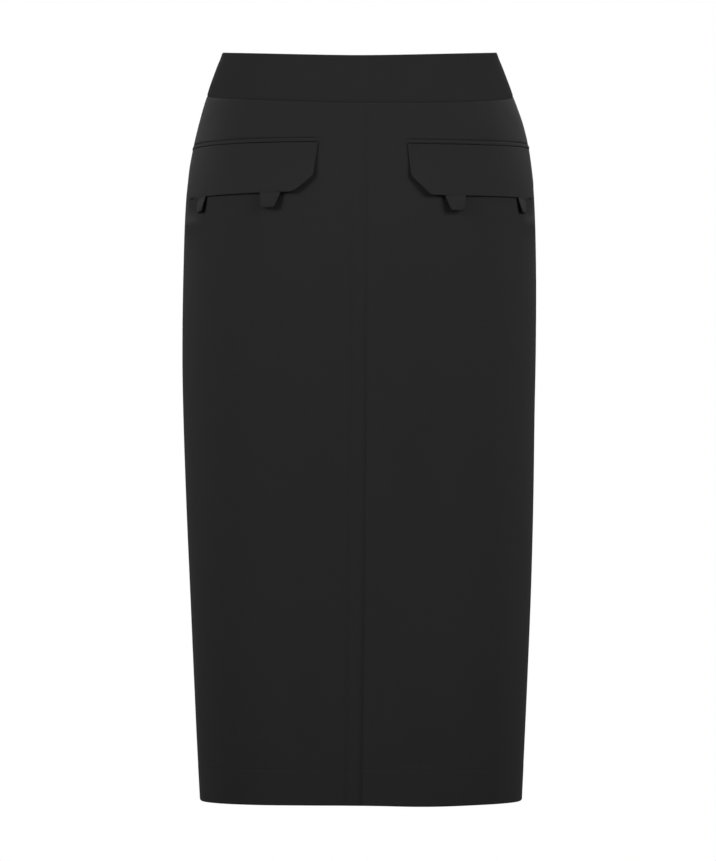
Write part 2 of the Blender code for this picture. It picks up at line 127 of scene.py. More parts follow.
def quarterAt(face, side, z):
    # half width, depth and squareness of one quarter; side is -1 on the left
    row = outlineAt(np.asarray(z, float))
    back = 0 if face == "front" else 1
    return row[..., 0 if side < 0 else 1], row[..., 2 + back], row[..., 4 + back]


def around(width, depth, power, angle):
    # a point of the quarter's outline, by its angle from the middle
    radius = ((np.sin(angle) / width) ** power + (np.cos(angle) / depth) ** power) ** (-1 / power)
    return radius * np.sin(angle), radius * np.cos(angle)


@lru_cache(maxsize=None)
def arcTable(face, side):
    # for each height, the length of the quarter and the angle at each share of it
    levels = np.linspace(edges["hemZ"] - 0.002, edges["topZ"] + 0.001, 280)
    angles = np.linspace(0, math.pi / 2, 481)
    x, y = around(*(value[:, None] for value in quarterAt(face, side, levels)), angles)
    steps = np.hypot(np.diff(x), np.diff(y))
    lengths = np.concatenate([np.zeros((len(levels), 1)), np.cumsum(steps, axis=1)], axis=1)
    shares = np.linspace(0, 1, 401)
    angleAt = np.array([np.interp(shares * row[-1], row, angles) for row in lengths])
    return levels, lengths[:, -1], angleAt


def quarterLength(face, side, z):
    levels, lengths, _ = arcTable(face, side)
    return np.interp(z, levels, lengths)


def skinQuarter(face, side, z, arc):
    levels, _, angleAt = arcTable(face, side)
    share = np.clip(arc / quarterLength(face, side, z), 0, 1) * (angleAt.shape[1] - 1)
    level = np.clip((z - levels[0]) / (levels[1] - levels[0]), 0, len(levels) - 1.001)
    i, j = level.astype(int), np.minimum(share.astype(int), angleAt.shape[1] - 2)
    up, on = level - i, share - j
    low = angleAt[i, j] * (1 - on) + angleAt[i, j + 1] * on
    high = angleAt[i + 1, j] * (1 - on) + angleAt[i + 1, j + 1] * on
    angle = low * (1 - up) + high * up

    width, depth, power = quarterAt(face, side, z)
    x, y = around(width, depth, power, angle)
    reach = 0.002
    upper, lower = quarterAt(face, side, z + reach), quarterAt(face, side, z - reach)
    wider, deeper = (np.log(upper[k] / lower[k]) / (2 * reach) for k in (0, 1))
    shareX, shareY = (x / width) ** power, (y / depth) ** power
    forward = -1 if face == "front" else 1
    normal = [side * shareX / np.maximum(x, 1e-9), forward * shareY / np.maximum(y, 1e-9)]
    normal = np.stack([*normal, -(shareX * wider + shareY * deeper)], axis=-1)
    normal /= np.linalg.norm(normal, axis=-1, keepdims=True)
    return np.stack([side * x, forward * y, z], axis=-1), normal


def skin(face, z, arc):
    # points of the outer surface and their normals; arc runs from the face's middle, right is +
    z, arc = np.broadcast_arrays(np.asarray(z, float), np.asarray(arc, float))
    points, normals = np.empty((*z.shape, 3)), np.empty((*z.shape, 3))
    for side, here in ((-1, arc < 0), (1, arc >= 0)):
        if here.any():
            points[here], normals[here] = skinQuarter(face, side, z[here], np.abs(arc[here]))
    return points, normals


def raised(points, normals, height):
    return points + normals * height[..., None]


def edgeDrop(dips, face, share):
    drop, leftPower, rightPower = dips[face]
    power = np.where(share < 0, leftPower, rightPower)
    return -drop * (1 - np.abs(share) ** power)


def centreSeam(face, z):
    if face == "back":
        return np.zeros_like(z)
    drift = edges["drift"]
    fall = np.maximum(0, drift["startZ"] - z) / (drift["startZ"] - edges["hemZ"])
    return drift["top"] - drift["fall"] * fall ** drift["power"]


def centreGap(face, z):
    # half the gap at the middle seam, which opens into the slit at the back
    slit = edges["slit"]
    opening = np.clip((slit["topZ"] - z) / (slit["topZ"] - edges["hemZ"]), 0, 1.01)
    return edges["touch"] + (0 if face == "front" else slit["open"] * opening)


def rolled(distance, radius):
    # how far a rounded edge has dropped at a distance from it
    inside = np.clip(1 - distance / radius, 0, 1)
    return radius * (1 - np.sqrt(1 - 0.98 * inside**2))


def softRound(distance, radius):
    # 0 at an edge and 1 from a radius inside it, as a quarter round
    inside = np.clip(1 - distance / radius, 0, 1)
    return np.sqrt(1 - 0.985 * inside**2)


# Finishes


def mathNode(operation, turned=False):
    def made(self, other):
        return self.board.math(operation, *((other, self) if turned else (self, other)))

    return made


class Wire:
    # a node's output that can be used in sums: each sum adds its Math node
    def __init__(self, board, socket):
        self.board = board
        self.socket = socket

    __add__ = __radd__ = mathNode("ADD")
    __sub__, __rsub__ = mathNode("SUBTRACT"), mathNode("SUBTRACT", turned=True)
    __mul__ = __rmul__ = mathNode("MULTIPLY")
    __truediv__ = mathNode("DIVIDE")
    __mod__ = mathNode("FLOORED_MODULO")
    __lt__ = mathNode("LESS_THAN")

    def other(self, name):
        return Wire(self.board, self.socket.node.outputs[name])


class Board:
    # the nodes of one finish, or of the studio's sky
    def __init__(self, owner):
        owner.use_nodes = True
        self.owner, self.nodes, self.links = owner, owner.node_tree.nodes, owner.node_tree.links
        self.nodes.clear()

    def node(self, kind, settings=None, values=None, output=0):
        made = self.nodes.new(kind)
        for key, value in (settings or {}).items():
            if key == "stops":
                for element, (place, colour) in zip(made.color_ramp.elements, value):
                    element.position, element.color = place, (*colour, 1)
            else:
                setattr(made, key, value)
        for key, value in (values or {}).items():
            if isinstance(value, Wire):
                self.links.new(value.socket, made.inputs[key])
            else:
                made.inputs[key].default_value = value
        return Wire(self, made.outputs[output]) if made.outputs else made

    def math(self, operation, *values):
        return self.node("ShaderNodeMath", {"operation": operation}, dict(enumerate(values)))

    def noise(self, place, scale, detail=2.0, roughness=0.5):
        values = {"Vector": place, "Scale": scale, "Detail": detail, "Roughness": roughness}
        return self.node("ShaderNodeTexNoise", {}, values, "Fac")

    def streaks(self, place, scale, roughness=0.5):
        # noise that is drawn out by different scales across and down the cloth
        values = {0: place, 1: (*scale, 1)}
        drawn = self.node("ShaderNodeVectorMath", {"operation": "MULTIPLY"}, values)
        return self.noise(drawn, 1.0, 3.0, roughness)

    def mixed(self, factor, first, second):
        values = {"Factor": factor, 6: first, 7: second}
        return self.node("ShaderNodeMix", {"data_type": "RGBA"}, values, 2)

    def clothPlace(self):
        # the place on the flat cloth, across it and down it
        place = self.node("ShaderNodeUVMap", {"uv_map": "cloth"})
        across = self.node("ShaderNodeSeparateXYZ", {}, {"Vector": place})
        return place, across, across.other("Y")

    def finish(self, colour, roughness, relief=None, looks=None):
        # relief is a bump's height, strength and depth
        values = {"Base Color": colour, "Roughness": roughness, **(looks or {})}
        if relief:
            bump = dict(zip(("Height", "Strength", "Distance"), relief))
            values["Normal"] = self.node("ShaderNodeBump", {}, bump, "Normal")
        shader = self.node("ShaderNodeBsdfPrincipled", {}, values)
        self.node("ShaderNodeOutputMaterial", {}, {"Surface": shader})
        return self.owner


def newBoard(name, colour, tone=1.0):
    material = bpy.data.materials.new(name)
    material.diffuse_color = shade(colour, tone)
    return Board(material)


def shade(colour, factor):
    return (colour[0] * factor, colour[1] * factor, colour[2] * factor, 1)


twill = {
    "colour": (0.0190, 0.0190, 0.0193),
    "light": 1.22,  # a yarn's crown against the colour, a painted highlight
    "yarn": 0.00042,  # from one yarn to the next
    "overTwo": 4,  # each yarn goes over two and under two
    "valley": 0.62,  # painted shade between the yarns
    "patches": (14, 5),  # how many to a metre, across and down
    "mottle": 0.10,  # how strong the patches are
    "slub": (900, 60),
    "slubShade": 0.12,
    "fuzz": 3800,
    "roughness": 0.82,
    "specular": 0.03,
    "panelSheen": 0.002,
    "bandSheen": 0.001,  # the waistband is fused and pressed flat
    "sheenRoughness": 0.38,
    "bump": 0.30,
    "yarnHeight": 0.00010,
}

# painted shade in bands along the middle seams, darker towards the hem: the distance from the seam, the half
# width, and the strength at the hip and at the hem
seamShadeBands = ((-0.0008, 0.0030, 0.035, 0.12), (-0.0146, 0.0034, 0.010, 0.080))


# how much painted shade darkens the cloth along the middle seams
def paintedSeamShade(board, across, down):
    drift = edges["drift"]
    low = board.math("MAXIMUM", drift["startZ"] - down, 0.0) / (drift["startZ"] - edges["hemZ"])
    seam = drift["top"] - drift["fall"] * board.math("POWER", low, drift["power"])
    total = 0.0
    for offset, width, above, below in seamShadeBands:
        away = board.math("ABSOLUTE", across - seam - offset) / width
        bandShade = board.math("MAXIMUM", 1 - away * away, 0.0)
        total = bandShade * blend(above, below, low) + total
    return total


def clothFinish(name, sheen, tone=1.0, seamShaded=False):
    board = newBoard(name, twill["colour"], tone)
    place, across, down = board.clothPlace()
    warp, weft = across / twill["yarn"], down / twill["yarn"]
    row = board.math("FLOOR", warp) - board.math("FLOOR", weft)
    warpUp = (row % twill["overTwo"]) < 1.5
    warpRound = board.math("SINE", board.math("FRACT", warp) * math.pi)
    weftRound = board.math("SINE", board.math("FRACT", weft) * math.pi)
    yarn = warpRound * warpUp + weftRound * (1 - warpUp)

    slub = board.streaks(place, twill["slub"])
    fuzz = board.noise(place, twill["fuzz"], 2.0, 0.7)
    mottle = board.streaks(place, twill["patches"], 0.45)
    uneven = 1 + twill["mottle"] * (mottle - 0.5) + twill["slubShade"] * (slub - 0.5)
    # painted shade along the middle seams
    if seamShaded:
        uneven = uneven * (1 - paintedSeamShade(board, across, down))
    # painted shade between the yarns and a painted highlight on their crowns, times the random patches and
    # slubs
    depth = blend(twill["valley"], 1, yarn) * uneven
    colour = board.mixed(depth, (0, 0, 0, 1), shade(twill["colour"], twill["light"] * tone))
    relief = (yarn + 0.35 * fuzz + 0.25 * slub, twill["bump"], twill["yarnHeight"])
    looks = {"Specular IOR Level": twill["specular"], "Sheen Weight": sheen}
    looks["Sheen Roughness"] = twill["sheenRoughness"]
    return board.finish(colour, twill["roughness"] + 0.14 * (fuzz - 0.5), relief, looks)


threadLook = {"colour": (0.015, 0.015, 0.0153), "twist": 0.0009, "roughness": 0.70, "specular": 0.12}


def threadFinish(name):
    board = newBoard(name, threadLook["colour"])
    _, across, down = board.clothPlace()
    ply = board.math("SINE", (across + down) / threadLook["twist"] * (2 * math.pi))
    # painted shade in the twist's grooves and a painted highlight on its plies, following the bump
    dark, light = shade(threadLook["colour"], 0.7), shade(threadLook["colour"], 1.2)
    colour = board.mixed(0.5 + 0.5 * ply, dark, light)
    looks = {"Specular IOR Level": threadLook["specular"]}
    return board.finish(colour, threadLook["roughness"] + 0.1 * ply, (ply, 0.4, 0.00008), looks)


knit = {
    "colour": (0.0125, 0.0125, 0.0128), "wale": 0.0007, "course": 0.00055, "lean": 1.6,
    "roughness": 0.78, "specular": 0.2,
}


def tapeFinish(name):
    # warp-knitted tape: columns of small chevrons
    board = newBoard(name, knit["colour"])
    _, across, down = board.clothPlace()
    wale = board.math("FRACT", across / knit["wale"])
    lean = board.math("ABSOLUTE", wale - 0.5)
    loop = board.math("FRACT", down / knit["course"] + lean * knit["lean"])
    height = board.math("SINE", loop * math.pi) * board.math("SINE", wale * math.pi)
    # the loops' colour follows their height: painted shade down low and a painted highlight on top
    colour = board.mixed(height, shade(knit["colour"], 0.55), shade(knit["colour"], 1.25))
    looks = {"Specular IOR Level": knit["specular"]}
    return board.finish(colour, knit["roughness"] + 0.1 * (height - 0.5), (height, 0.5, 0.00012), looks)


lacquer = {
    "colour": (0.0130, 0.0130, 0.0135), "worn": (0.11, 0.11, 0.108),
    "roughness": 0.46, "specular": 0.2, "metal": 0.15, "wornMetal": 0.5,
}


def metalFinish(name, tone=1.0):
    # black lacquer on cast metal, rubbed thin in small patches
    board = newBoard(name, lacquer["colour"])
    place = board.node("ShaderNodeTexCoord", {}, {}, "Object")
    rub = board.noise(place, 420.0, 4.0, 0.6)
    stops = [(0.66, (0, 0, 0)), (0.78, (1, 1, 1))]
    wear = board.node("ShaderNodeValToRGB", {"stops": stops}, {"Fac": rub})
    grain = board.noise(place, 5200.0, 2.0, 0.6)
    colour = board.mixed(wear * 0.35, shade(lacquer["colour"], tone), shade(lacquer["worn"], tone))
    roughness = lacquer["roughness"] + 0.18 * (grain - 0.5) + 0.1 * rub
    looks = {"Metallic": lacquer["metal"] + lacquer["wornMetal"] * wear}
    looks["Specular IOR Level"] = lacquer["specular"]
    return board.finish(colour, roughness, (grain + 0.6 * rub, 0.12, 0.00005), looks)


# the panels' twill carries painted shade along the middle seams
panelCloth = clothFinish("twill_panels", twill["panelSheen"], seamShaded=True)
# the waistband's twill is a copy 0.95 as bright as the panels': painted shade over the whole band
bandCloth = clothFinish("twill_waistband", twill["bandSheen"], 0.95)
pocketCloth = clothFinish("twill_pockets", twill["panelSheen"])
threads = threadFinish("sewing_thread")
tapeKnit = tapeFinish("zip_tape_knit")
coilNylon = metalFinish("zip_coil_nylon", 0.9)
blackMetal = metalFinish("lacquered_metal")
print("finishes made")


# Making pieces


def addObject(name, data):
    made = bpy.data.objects.new(name, data)
    bpy.context.scene.collection.objects.link(made)
    return made


def addPiece(mesh, finish, body="skirt"):
    mesh.materials.append(finish)
    piece = addObject(mesh.name, mesh)
    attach(piece, body)
    return piece


def meshFrom(name, points, faces, uvs):
    mesh = bpy.data.meshes.new(name)
    mesh.from_pydata(points, [], faces)
    layer = mesh.uv_layers.new(name="cloth")
    layer.data.foreach_set("uv", uvs[np.concatenate(faces)].astype(np.float32).ravel())
    mesh.shade_smooth()
    return mesh


def clothWall(name, node, surface, high, low, place, finish):
    # a closed wall between two heights over a grid of the outer surface, which replaces a node
    outer, inner = raised(*surface, high), raised(*surface, low)
    rows, columns = outer.shape[:2]
    count = rows * columns
    index = np.arange(count).reshape(rows, columns)
    corners = [index[:-1, :-1], index[1:, :-1], index[1:, 1:], index[:-1, 1:]]
    quads = np.stack(corners, axis=-1).reshape(-1, 4)
    rim = np.concatenate([index[0], index[1:, -1], index[-1, -2::-1], index[-2:0:-1, 0]])
    after = np.roll(rim, -1)
    ring = np.stack([rim, after, after + count, rim + count], axis=-1)
    faces = np.concatenate([quads, quads[:, ::-1] + count, ring])
    middle = (rows // 2, columns // 2)
    down = outer[middle[0] + 1, middle[1]] - outer[middle]
    along = outer[middle[0], middle[1] + 1] - outer[middle]
    if np.dot(np.cross(down, along), outer[middle] - inner[middle]) < 0:
        faces = faces[:, ::-1]
    points = np.concatenate([outer.reshape(-1, 3), inner.reshape(-1, 3)])
    flat = np.stack(np.broadcast_arrays(*place), axis=-1).reshape(-1, 2)
    mesh = meshFrom(name, points, faces, np.tile(flat, (2, 1)))
    mesh.set_sharp_from_angle(angle=math.radians(55))
    piece = addPiece(mesh, finish)
    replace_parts(piece, node)
    return piece


def tubes(paths, radius, sides, endScale=1.0):
    # points, faces and uvs of round tubes along paths, as one mesh; paths is tubes by points by 3
    count, steps = paths.shape[:2]
    ahead = np.gradient(paths, axis=1)
    ahead /= np.linalg.norm(ahead, axis=-1, keepdims=True)
    helper = np.where(np.abs(ahead[..., 2:]) < 0.9, (0.0, 0.0, 1.0), (0.0, 1.0, 0.0))
    across = np.cross(ahead, helper)
    across /= np.linalg.norm(across, axis=-1, keepdims=True)
    other = np.cross(ahead, across)
    turn = np.arange(sides) * 2 * math.pi / sides
    size = np.full(steps, radius)
    size[[0, -1]] *= endScale
    ring = across[..., None, :] * np.cos(turn)[:, None] + other[..., None, :] * np.sin(turn)[:, None]
    points = (paths[..., None, :] + ring * size[:, None, None]).reshape(-1, 3)
    k, s, a = np.meshgrid(np.arange(count), np.arange(steps - 1), np.arange(sides), indexing="ij")
    here, beside = (k * steps + s) * sides + a, (k * steps + s) * sides + (a + 1) % sides
    quads = np.stack([here, beside, beside + sides, here + sides], -1)
    faces = quads.reshape(-1, 4).tolist()
    for start in range(0, count * steps * sides, steps * sides):
        faces.append([start + a for a in range(sides)][::-1])
        faces.append([start + (steps - 1) * sides + a for a in range(sides)])
    lengths = np.concatenate([[0], np.cumsum(np.linalg.norm(np.diff(paths[0], axis=0), axis=-1))])
    uvs = np.stack(np.broadcast_arrays((turn * radius)[None, :], lengths[:, None]), -1)
    return points, faces, np.tile(uvs.reshape(-1, 2), (count, 1))


# How the cloth lies: slow waves of the hanging cloth, and creases given one by one

drape = {
    # amplitude, wavelength along the cloth, wavelength down it, phase
    "waves": ((0.00026, 0.118, 0.55, 0.6), (0.00018, 0.071, 0.37, 2.3), (0.00012, 0.043, 0.26, 4.4)),
    "pucker": 0.00010,  # along the seams
    # from (along, height) to (along, height), half width, height of the ridge or trough
    "creases": {
        "front": (
            ((-0.030, -0.400), (-0.046, -0.500), 0.013, -0.00045),
            ((-0.052, -0.560), (-0.063, -0.668), 0.016, -0.00040),
            ((-0.110, -0.330), (-0.098, -0.520), 0.018, 0.00040),
            ((0.018, -0.6515), (0.088, -0.6535), 0.006, -0.00045),
            ((0.052, -0.420), (0.060, -0.600), 0.017, -0.00035),
            ((0.120, -0.350), (0.108, -0.560), 0.020, 0.00045),
            ((0.135, -0.030), (0.168, -0.060), 0.007, -0.00050),
            ((-0.140, -0.032), (-0.166, -0.058), 0.007, -0.00045),
            ((0.158, -0.1440), (0.212, -0.1455), 0.0075, 0.00150),
            ((-0.150, -0.1440), (-0.208, -0.1460), 0.0075, 0.00130),
        ),
        "back": (
            ((-0.075, -0.155), (-0.118, -0.235), 0.016, -0.00060),
            ((0.080, -0.160), (0.124, -0.228), 0.015, -0.00055),
            ((-0.012, -0.218), (-0.060, -0.262), 0.009, -0.00050),
            ((0.010, -0.214), (0.052, -0.268), 0.009, -0.00050),
            ((-0.090, -0.400), (-0.080, -0.600), 0.020, 0.00050),
            ((0.095, -0.360), (0.078, -0.570), 0.020, 0.00045),
            ((0.014, -0.500), (0.050, -0.560), 0.012, -0.00055),
            ((-0.012, -0.496), (-0.056, -0.548), 0.011, -0.00050),
        ),
    },
}


def waveLift(face, z, arc):
    total = np.zeros(np.broadcast(z, arc).shape)
    for start, end, width, height in drape["creases"][face]:
        run = (end[0] - start[0], end[1] - start[1])
        length = math.hypot(*run)
        share = ((arc - start[0]) * run[0] + (z - start[1]) * run[1]) / length**2
        away = ((arc - start[0]) * run[1] - (z - start[1]) * run[0]) / length
        fade = smooth(share, -0.15, 0.35) * (1 - smooth(share, 0.6, 1.15))
        total += height * fade * hump(away, 0, width)
    turn = 0.0 if face == "front" else 1.9
    for size, along, down, phase in drape["waves"]:
        bend = 0.9 * np.sin(2 * math.pi * z / down + phase + turn)
        total += size * np.sin(2 * math.pi * arc / along + bend + 1.7 * phase + turn)
    return total


def pucker(distance, z, phase):
    ripple = np.sin(2 * math.pi * z / 0.0125 + 2.2 * np.sin(2 * math.pi * z / 0.047 + phase))
    return drape["pucker"] * ripple * np.exp(-distance / 0.005) * smooth(distance, 0, 0.0012)


# Pockets: where each lies, and the line that it hangs from

pockets = {
    "left": {
        "side": -1, "middle": 0.1242, "topZ": -0.0694, "tilt": -0.022, "bow": 0.0012,
        "height": 0.0511,  # from the welt's upper edge to the flap's lower one, in the middle
        "spread": 0.012,  # and how much it grows along the pocket
        "slant": 0.0046, "cornerStart": 0.0350, "cornerWidth": 0.0222, "soften": 0.0045,
    },
    "right": {
        "side": 1, "middle": 0.1293, "topZ": -0.0693, "tilt": -0.003, "bow": 0.0,
        "height": 0.0518, "spread": 0.0,
        "slant": 0.0036, "cornerStart": 0.0340, "cornerWidth": 0.0218, "soften": 0.0016,
    },
}
pocketHalf = 0.0850
welt = {
    "height": 0.0031, "gap": 0.0003, "off": -0.0003, "thick": 0.0009, "edge": 0.0001,
    "upperRound": 0.0004, "lowerRound": 0.0011, "endRound": 0.0012, "pull": 0.00006,
}


def pocketLine(pocket, along):
    return pocket["topZ"] + pocket["tilt"] * along + pocket["bow"] * (1 - (along / pocketHalf) ** 2)


def flapHeight(pocket, along):
    return pocket["height"] + pocket["spread"] * along


# Panels

panel = {
    "cloth": 0.00095,
    "allowance": 0.0145,  # the seams are pressed open inside by this much
    "allowanceThick": 0.00165,
    "zipAllowanceThick": 0.00140,
    "zipEndZ": -0.2000,
    "hemThick": 0.0024,
    "hemDepth": 0.0335,
    "hemEdgeAbove": 0.0020,  # the turned-up edge lies this far above its stitches
    "hemRound": 0.0012,
    "topGroove": (0.00035, 0.0007),  # how deep and how wide the waist seam sinks
    "sideRoll": 0.0008,
    "backCentreRoll": 0.0007,
    # the front seam's groove at the top and at the hem: soft on its left, sharp on its right
    "groove": {
        "left": ((0.00016, 0.0010), (0.00075, 0.0026)),
        "right": ((0.00014, 0.0005), (0.00070, 0.0007)),
    },
    "ridge": {"left": 0.00036, "right": 0.00012, "back": 0.00018},  # where the allowance shows through
    "sideRidge": 0.00012,
    "weltDip": (0.00080, 0.0009),
    "stitchDip": 0.00012,
    "hemStep": 0.00010,  # the turned-up hem shows through
    "sag": {"arc": 0.066, "width": 0.045, "drop": 0.0013, "above": 0.09},
    "spacing": 0.0030,
    "dart": {
        "share": 0.36, "endZ": -0.150, "fade": 0.035, "depth": 0.00110, "fold": 0.00025, "dimple": 0.00045,
    },
}
stitchZ = edges["hemZ"] + panel["hemDepth"]

# how the rows and columns close up at the seams
fromSeam = inMm(0, 0.12, 0.3, 0.55, 0.85, 1.2, 1.7, 2.4, 3.6, 5.2, 7.2, 9.6, 12, 13.9, 14.4, 14.8, 15.4, 16.5)
fromWaist = inMm(0, 0.1, 0.28, 0.5, 0.8, 1.15, 1.6, 2.3, 3.4, 5.2, 7.6, 10.2, 12.9)
fromStitch = inMm(3.4, 2.6, 2.1, 1.8, 1.2, 0.8, 0.5, 0.2, -0.1, -0.4, -0.7, -1.0, -1.5, -2.4)
fromHem = inMm(3.4, 2.6, 1.9, 1.35, 0.95, 0.62, 0.36, 0.16, 0.0)
fromDart = (-2.2, -1.3, -0.7, -0.35, -0.12, 0.12, 0.35, 0.7, 1.3, 2.2)


def panelRowHeights():
    top = edges["waistSeamZ"] - fromWaist
    hip = np.linspace(top[-1], -0.0520, 8)[1:]
    atWelt = np.linspace(-0.0520, -0.0765, 62)[1:]
    leg = np.linspace(atWelt[-1], stitchZ + 0.0045, 190)[1:]
    atStitch = stitchZ + fromStitch
    turned = np.linspace(atStitch[-1], edges["hemZ"] + 0.0045, 11)[1:]
    return np.concatenate([top, hip, atWelt, leg, atStitch, turned, edges["hemZ"] + fromHem])


def panelEnds(face, side, z):
    start = centreSeam(face, z) + side * centreGap(face, z)
    return start, side * (quarterLength(face, side, z) - edges["touch"])


def panelGrid(face, side):
    rowZ = panelRowHeights()[:, None]
    start, end = panelEnds(face, side, rowZ)
    width = np.abs(end - start)
    between = np.linspace(0, 1, int(0.2 / panel["spacing"]) + 2)[1:-1]
    if face == "back":
        dart = panel["dart"]["share"]
        between = between[np.abs(between - dart) > 0.010]
        between = np.sort(np.concatenate([between, dart + np.array(fromDart) * 0.004]))
    inner = np.broadcast_to(fromSeam, (len(rowZ), len(fromSeam)))
    reach = inner[0, -1]
    distance = np.concatenate([inner, reach + (width - 2 * reach) * between, width - inner[:, ::-1]], axis=1)
    share = distance / width
    level = np.maximum(0, (rowZ - edges["dipEndZ"]) / (edges["waistSeamZ"] - edges["dipEndZ"]))
    z = rowZ + edgeDrop(edges["seamDip"], face, side * share) * level**2
    start, end = panelEnds(face, side, z)
    length = np.abs(end - start)
    g = SimpleNamespace(z=z, share=share, rowZ=np.broadcast_to(rowZ, z.shape))
    g.fromCentre = share * length
    g.fromSide = length - g.fromCentre
    g.arc = start + side * g.fromCentre
    return g


def sagAt(fromHem, arc):
    # the front's hem hangs a little lower on its right
    sag = panel["sag"]
    return sag["drop"] * (1 - smooth(fromHem, 0, sag["above"])) * hump(arc, sag["arc"], sag["width"])


def inAllowance(distance, before, after):
    return 1 - smooth(distance, panel["allowance"] - before, panel["allowance"] + after)


def panelLift(face, side, g):
    # the outer surface without its rolled edges
    hand = handOf(side)
    free = smooth(g.fromCentre, 0.002, 0.03) * smooth(g.fromSide, 0.002, 0.03)
    free = free * smooth(edges["waistSeamZ"] - g.rowZ, 0.003, 0.03)
    lift = waveLift(face, g.z, g.arc) * (0.15 + 0.85 * free)
    down = smooth(-g.z, 0.10, 0.42)
    ridge = panel["ridge"][hand if face == "front" else "back"] * (0.25 + 0.75 * down)
    lift += ridge * inAllowance(g.fromCentre, 0.0006, 0.0016)
    lift += panel["sideRidge"] * inAllowance(g.fromSide, 0.0008, 0.0020)
    lift += pucker(g.fromCentre, g.z, 0.4 + side) + pucker(g.fromSide, g.z, 2.0 + side)
    lift -= panel["stitchDip"] * hump(g.rowZ, stitchZ, 0.0009)
    lift += panel["hemStep"] * smooth(-g.rowZ, -stitchZ - 0.0030, -stitchZ + 0.0030)
    if face == "front":
        pocket = pockets[hand]
        along = side * g.arc - pocket["middle"]
        below = pocketLine(pocket, along) - g.z
        inPocket = smooth(pocketHalf + 0.002 - np.abs(along), 0, 0.006)
        lift *= 1 - inPocket * smooth(below, -0.006, 0.001) * (1 - smooth(below, 0.052, 0.075))
        depth, width = panel["weltDip"]
        lower = hump(below, welt["height"] + welt["gap"] / 2, width)
        lift -= depth * inPocket * np.maximum(hump(below, -0.0005, width), lower)
    else:
        dart = panel["dart"]
        away = (g.share - dart["share"]) * quarterLength(face, side, g.z)
        fade = smooth(g.z, dart["endZ"], dart["endZ"] + dart["fade"])
        lift -= dart["depth"] * fade * np.exp(-np.abs(away) / 0.0011)
        lift += dart["fold"] * fade * np.where(np.abs(away) < 0.010, smooth(away, 0, 0.001), 0)
        lift += dart["dimple"] * hump(g.z, dart["endZ"] - 0.006, 0.016) * hump(away, 0, 0.014)
    return lift


def panelThick(face, g):
    thin, thick = panel["cloth"], panel["allowanceThick"]
    atSide, atCentre = (inAllowance(away, 0.0002, 0.0002) for away in (g.fromSide, g.fromCentre))
    centreThick = thick
    if face == "back":
        centreThick = np.where(g.z > panel["zipEndZ"] - 0.005, panel["zipAllowanceThick"], thick)
    total = thin + np.maximum((thick - thin) * atSide, (centreThick - thin) * atCentre)
    hemEdge = panel["hemDepth"] + panel["hemEdgeAbove"]
    turned = 1 - smooth(g.rowZ - edges["hemZ"], hemEdge - 0.0003, hemEdge + 0.0003)
    return np.maximum(total, blend(thin, panel["hemThick"], turned))


def makePanel(face, side):
    g = panelGrid(face, side)
    aboveHem = g.rowZ - edges["hemZ"]
    if face == "front":
        g.z = g.z - sagAt(aboveHem, g.arc)
        top, hem = panel["groove"][handOf(side)]
        down = smooth(-g.z, 0.10, 0.50)
        depth, width = (blend(*ends, down) for ends in zip(top, hem))
        drop = depth * np.exp(-((g.fromCentre / width) ** 1.3))
    else:
        drop = rolled(g.fromCentre, panel["backCentreRoll"])
    lift, thick = panelLift(face, side, g), panelThick(face, g)
    drop = np.maximum(drop, rolled(g.fromSide, panel["sideRoll"]))
    depth, width = panel["topGroove"]
    drop = np.maximum(drop, depth * np.exp(-(edges["waistSeamZ"] - g.rowZ) / width))
    drop = np.minimum(drop, thick * 0.9)
    bottom = rolled(aboveHem, panel["hemRound"])
    high, low = lift - np.maximum(drop, bottom), lift - thick + bottom
    name, node = f"cloth_{face}_{handOf(side)}", f"{face}_panel_{handOf(side)}"
    return clothWall(name, node, skin(face, g.z, g.arc), high, low, (g.arc, g.z), panelCloth)


panels = {(face, side): makePanel(face, side) for face in ("front", "back") for side in (-1, 1)}
print("panels made")


# Waistband

band = {
    "thick": 0.0022,
    "proud": 0.00040,
    "seam": {"left": (0.00095, 0.0016), "right": (0.00065, 0.0014)},  # how its lower edge sinks
    "endRoll": 0.0006,
    "notchZ": -0.0010,  # above this the ends in the back part for the slider
    "notchHalf": 0.0010,
    "droop": {"left": 0.0016, "right": 0.0005},  # the top corners are a little rounded
    "wave": 0.00016,
    "topDent": 0.00022,  # the top edge is a touch thicker than what lies below it
    "reach": 0.18,  # about the quarter's length
}
bandEnd = inMm(0, 0.1, 0.25, 0.45, 0.7, 1.1, 1.8, 3.0, 5.0)
bandLow = inMm(0, 0.12, 0.3, 0.5, 0.75, 1.05, 1.5, 2.3, 3.6)
bandHigh = inMm(3.6, 2.4, 1.7, 1.25, 0.95, 0.7, 0.5, 0.33, 0.18, 0.07, 0)


def bandRows():
    height = edges["topZ"] - edges["waistSeamZ"]
    low, high = bandLow / height, 1 - bandHigh / height
    return np.concatenate([low, np.linspace(low[-1], high[0], 14)[1:-1], high])


